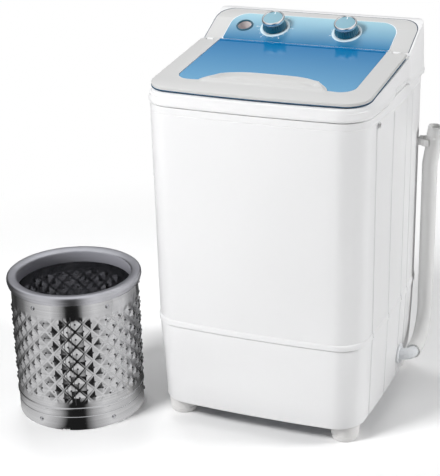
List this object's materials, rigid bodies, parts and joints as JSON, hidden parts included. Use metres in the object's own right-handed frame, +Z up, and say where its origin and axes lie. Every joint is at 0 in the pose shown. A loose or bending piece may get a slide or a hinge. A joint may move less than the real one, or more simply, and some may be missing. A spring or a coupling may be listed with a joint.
{
  "type": "portable washing machine",
  "caption": "Compact white top-loading single-tub washing machine with blue lid window, two-knob console, side drain hose and a stainless spin basket standing beside it.",
  "frame": {"origin": "bottom centre of the whole row's box, machine and basket together, on the floor", "axes": "+Z up; the machine's front looks along -Y; +X runs from the basket to the machine"},
  "size_m": [0.676, 0.4966, 0.6569],
  "materials": {
    "white_plastic": "smooth semi-gloss white moulding",
    "rear_plastic": "fine matt white moulding",
    "tub_plastic": "smooth white polypropylene",
    "pale_ring": "pale glossy moulding",
    "hose_white": "soft white flexible plastic",
    "foot_plastic": "matt off-white plastic",
    "blue_panel": "glossy tinted blue plastic",
    "teal_plastic": "glossy dark teal moulding",
    "chrome": "bright plated",
    "stainless": "polished and brushed stainless sheet",
    "rim_grey": "satin grey ring",
    "painted_steel": "plain grey coated steel",
    "dark_plastic": "matt dark plastic",
    "rubber": "black rubber"
  },
  "bodies": {
    "root": {"cabinet": "white_plastic", "base_housing": "white_plastic", "base_plate": "painted_steel", "foot_1": "foot_plastic", "foot_2": "foot_plastic", "foot_3": "foot_plastic", "foot_4": "foot_plastic", "wash_tub": "tub_plastic", "top_frame": "white_plastic", "console_bezel": "white_plastic", "console_overlay": "blue_panel", "wash_knob_ring": "pale_ring", "drain_knob_ring": "pale_ring", "inlet_spigot": "pale_ring", "wash_timer": "dark_plastic", "drain_selector": "dark_plastic", "lid_hinge_pin_left": "chrome", "lid_hinge_pin_right": "chrome", "bearing_housing": "painted_steel", "lower_bearing": "chrome", "upper_bearing": "chrome", "shaft_seal": "rubber", "motor_stator": "painted_steel", "motor_bracket": "painted_steel", "motor_capacitor": "dark_plastic", "drive_belt": "rubber", "drain_valve_body": "tub_plastic", "drain_valve_spring": "chrome", "drain_pipe": "rubber", "outlet_pipe": "rubber", "drain_outlet": "tub_plastic", "hose_clip": "hose_white", "rear_cover": "rear_plastic", "rear_cover_screw_1": "chrome", "rear_cover_screw_2": "chrome", "rear_cover_screw_3": "chrome", "rear_cover_screw_4": "chrome", "mains_lead_gland": "dark_plastic"},
    "lid": {"lid_frame": "white_plastic", "lid_window": "blue_panel"},
    "wash_control": {"wash_knob": "teal_plastic", "wash_knob_trim": "chrome", "wash_knob_shaft": "chrome"},
    "drain_control": {"drain_knob": "teal_plastic", "drain_knob_trim": "chrome", "drain_knob_shaft": "chrome", "drain_crank": "painted_steel"},
    "drain_rod": {"drain_valve_rod": "painted_steel"},
    "pulsator_drive": {"pulsator": "teal_plastic", "pulsator_screw": "chrome", "drive_shaft": "chrome", "driven_pulley": "painted_steel", "pulley_nut": "chrome"},
    "motor_drive": {"motor_rotor": "chrome", "motor_pulley": "painted_steel"},
    "hose": {"drain_hose": "hose_white"},
    "basket": {"basket_shell": "stainless", "basket_balance_ring": "rim_grey", "basket_base": "stainless"}
  },
  "joints": [
    {"name": "lid_hinge", "type": "hinge", "parent": "root", "child": "lid", "pos_m": [0.10696, 0.10409, 0.61163], "axis": [-1, 0, 0], "range_deg": [0, 105]},
    {"name": "wash_timer_turn", "type": "hinge", "parent": "root", "child": "wash_control", "pos_m": [0.04196, 0.15146, 0.62819], "axis": [0, 0.4222, -0.9065], "range_deg": [0, 300]},
    {"name": "drain_knob_turn", "type": "hinge", "parent": "root", "child": "drain_control", "pos_m": [0.17196, 0.15146, 0.62819], "axis": [0, 0.4222, -0.9065], "range_deg": [0, 95]},
    {"name": "drain_valve_lift", "type": "slide", "parent": "root", "child": "drain_rod", "axis": [0, 0, 1], "range_m": [0, 0.01], "deforming": ["drain_valve_spring"]},
    {"name": "pulsator_spin", "type": "hinge", "parent": "root", "child": "pulsator_drive", "pos_m": [0.10696, -0.0093, 0.2], "axis": [0, 0, 1], "continuous": true},
    {"name": "motor_spin", "type": "hinge", "parent": "root", "child": "motor_drive", "pos_m": [0.10696, 0.1347, 0.056], "axis": [0, 0, 1], "continuous": true},
    {"name": "drain_hose_swing", "type": "hinge", "parent": "root", "child": "hose", "pos_m": [0.31346, 0.1167, 0.07], "axis": [0, 1, 0], "range_deg": [0, 90]},
    {"name": "basket_lift", "type": "slide", "parent": "root", "child": "basket", "axis": [0, 0, 1], "range_m": [0, 0.3]}
  ],
  "couplings": [
    {"joint": "drain_knob_turn", "follows": "drain_valve_lift", "rad_per_m": 157},
    {"joint": "motor_spin", "follows": "pulsator_spin", "ratio": 3.8235}
  ]
}
